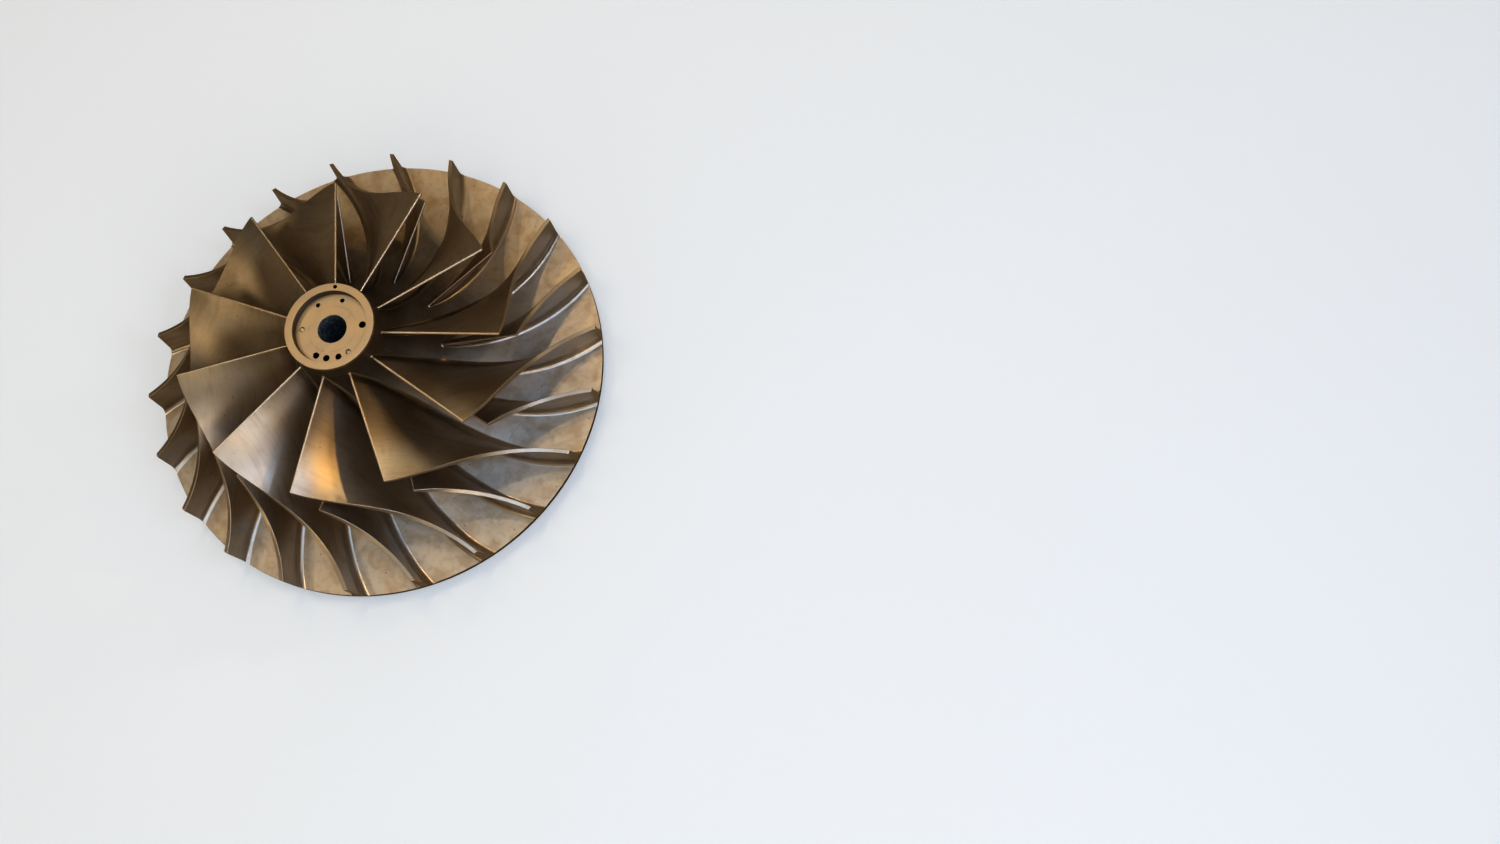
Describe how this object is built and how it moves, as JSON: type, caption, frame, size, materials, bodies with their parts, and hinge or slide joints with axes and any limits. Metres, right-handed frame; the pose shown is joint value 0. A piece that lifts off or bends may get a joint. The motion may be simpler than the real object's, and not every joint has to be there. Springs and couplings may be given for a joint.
{
  "type": "centrifugal compressor impeller",
  "caption": "Semi-open centrifugal compressor wheel: back disc with flared hub and recessed nose ring, swept full blades and shorter splitter blades between them.",
  "frame": {"origin": "centre of the rear boss face, on the shaft axis", "axes": "+Z along the shaft axis, from the rear boss towards the nose; +X to the right and +Y up in the picture's view of the nose"},
  "size_m": [0.4, 0.4, 0.131],
  "materials": {
    "body_steel": "satin milled steel with a warm tan tone, faint cloudy stains and fine turning marks on the nose",
    "blade_steel": "satin milled steel, warm bronze to pinkish silver, with fine milling lines and faint blotchy stains"
  },
  "bodies": {
    "root": {"wheel_body": "body_steel", "full_blade_01": "blade_steel", "full_blade_02": "blade_steel", "full_blade_03": "blade_steel", "full_blade_04": "blade_steel", "full_blade_05": "blade_steel", "full_blade_06": "blade_steel", "full_blade_07": "blade_steel", "full_blade_08": "blade_steel", "full_blade_09": "blade_steel", "full_blade_10": "blade_steel", "full_blade_11": "blade_steel", "splitter_blade_01": "blade_steel", "splitter_blade_02": "blade_steel", "splitter_blade_03": "blade_steel", "splitter_blade_04": "blade_steel", "splitter_blade_05": "blade_steel", "splitter_blade_06": "blade_steel", "splitter_blade_07": "blade_steel", "splitter_blade_08": "blade_steel", "splitter_blade_09": "blade_steel", "splitter_blade_10": "blade_steel", "splitter_blade_11": "blade_steel"}
  },
  "joints": []
}
